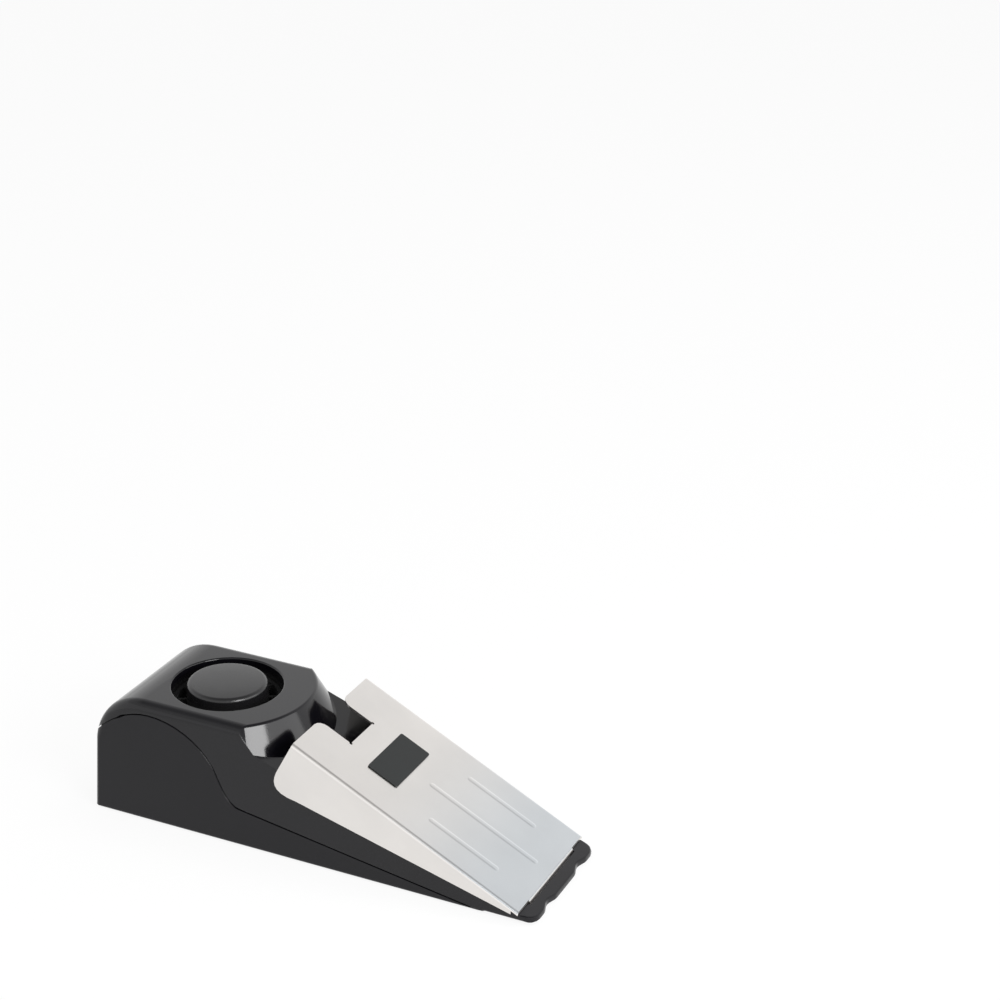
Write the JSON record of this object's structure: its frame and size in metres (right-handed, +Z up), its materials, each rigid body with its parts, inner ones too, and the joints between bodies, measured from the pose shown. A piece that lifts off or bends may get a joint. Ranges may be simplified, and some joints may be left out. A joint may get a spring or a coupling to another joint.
{
  "type": "door stop alarm",
  "caption": "Black wedge door stop alarm with a bent stainless steel trigger plate hinged at the nose, a round siren in a raised rear block, an underside battery cover and rubber grip pads.",
  "frame": {"origin": "middle of the object over the plane that its rubber pads stand on", "axes": "X from the raised rear block to the thin nose, Y across, Z up"},
  "size_m": [0.1525, 0.048, 0.0433],
  "materials": {
    "upper_plastic": "semi-gloss moulded black",
    "lower_plastic": "semi-gloss moulded black",
    "inner_plastic": "matte black",
    "plate_steel": "satin stainless sheet",
    "label": "plain black foil",
    "plunger_plastic": "natural white",
    "spring_steel": "drawn wire",
    "screw_steel": "zinc plated",
    "brass": "rolled sheet",
    "ceramic": "matte white",
    "foam": "open foam",
    "rubber": "matte grip rubber",
    "board": "green solder mask",
    "ferrite": "matte ferrite",
    "copper": "enamelled copper wire",
    "sleeve": "dark blue sleeve",
    "resistor_coat": "tan lacquer",
    "battery_wrap": "dark printed can, no words",
    "knob": "matte black",
    "lead_red": "red insulation",
    "lead_black": "black insulation"
  },
  "bodies": {
    "casing": {"lower_housing": "lower_plastic", "upper_housing": "upper_plastic", "siren_grille": "upper_plastic", "foam_ring": "foam", "piezo_disc": "brass", "piezo_ceramic": "ceramic", "sounder_cup": "inner_plastic", "sounder_screw_1": "screw_steel", "sounder_screw_2": "screw_steel", "return_spring_left": "spring_steel", "return_spring_right": "spring_steel", "leaf_block": "inner_plastic", "battery": "battery_wrap", "terminal_round": "screw_steel", "terminal_hex": "screw_steel", "battery_snap": "inner_plastic", "circuit_board": "board", "board_screw_1": "screw_steel", "board_screw_2": "screw_steel", "board_screw_3": "screw_steel", "board_screw_4": "screw_steel", "coil_core": "ferrite", "coil_winding": "copper", "alarm_chip": "inner_plastic", "capacitor": "sleeve", "transistor": "inner_plastic", "resistor_1": "resistor_coat", "resistor_2": "resistor_coat", "resistor_3": "resistor_coat", "resistor_4": "resistor_coat", "power_switch": "screw_steel", "housing_screw_1": "screw_steel", "housing_screw_2": "screw_steel", "housing_screw_3": "screw_steel", "housing_screw_4": "screw_steel", "grip_pad_front": "rubber", "grip_strip_left": "rubber", "grip_strip_right": "rubber", "battery_lead_red": "lead_red", "battery_lead_black": "lead_black", "piezo_lead_red": "lead_red", "piezo_lead_black": "lead_black", "power_lead_red": "lead_red", "power_lead_black": "lead_black", "trigger_lead_red": "lead_red", "trigger_lead_black": "lead_black"},
    "plate": {"trigger_plate": "plate_steel", "plate_label": "label"},
    "plunger": {"trigger_plunger": "plunger_plastic"},
    "upper_leaf": {"leaf_upper": "brass"},
    "lower_leaf": {"leaf_lower": "brass"},
    "knob": {"power_knob": "knob"},
    "cover": {"battery_cover": "lower_plastic", "battery_foam": "foam"}
  },
  "joints": [
    {"name": "plate_hinge", "type": "hinge", "parent": "casing", "child": "plate", "pos_m": [0.07125, 0, 0.0026], "axis": [0, -1, 0], "range_deg": [0, 6.5], "stiffness_Nm_per_rad": 0.6, "springref_deg": -17.19, "deforming": ["return_spring_left", "return_spring_right"]},
    {"name": "plunger_slide", "type": "slide", "parent": "casing", "child": "plunger", "axis": [0, 0, -1], "range_m": [0, 0.0062]},
    {"name": "leaf_upper_hinge", "type": "hinge", "parent": "casing", "child": "upper_leaf", "pos_m": [0.00975, 0, 0.01114], "axis": [0, 1, 0], "range_deg": [0, 24]},
    {"name": "leaf_lower_hinge", "type": "hinge", "parent": "casing", "child": "lower_leaf", "pos_m": [0.00975, 0, 0.00984], "axis": [0, 1, 0], "range_deg": [0, 24]},
    {"name": "power_slide", "type": "slide", "parent": "casing", "child": "knob", "axis": [0, 1, 0], "range_m": [0, 0.003]},
    {"name": "cover_hinge", "type": "hinge", "parent": "casing", "child": "cover", "pos_m": [-0.00445, 0, 0.0006], "axis": [0, -1, 0], "range_deg": [0, 80]}
  ],
  "couplings": [
    {"joint": "plunger_slide", "follows": "plate_hinge", "m_per_rad": 0.0538},
    {"joint": "leaf_upper_hinge", "follows": "plate_hinge", "ratio": 3.6},
    {"joint": "leaf_lower_hinge", "follows": "plate_hinge", "ratio": 3.6}
  ]
}
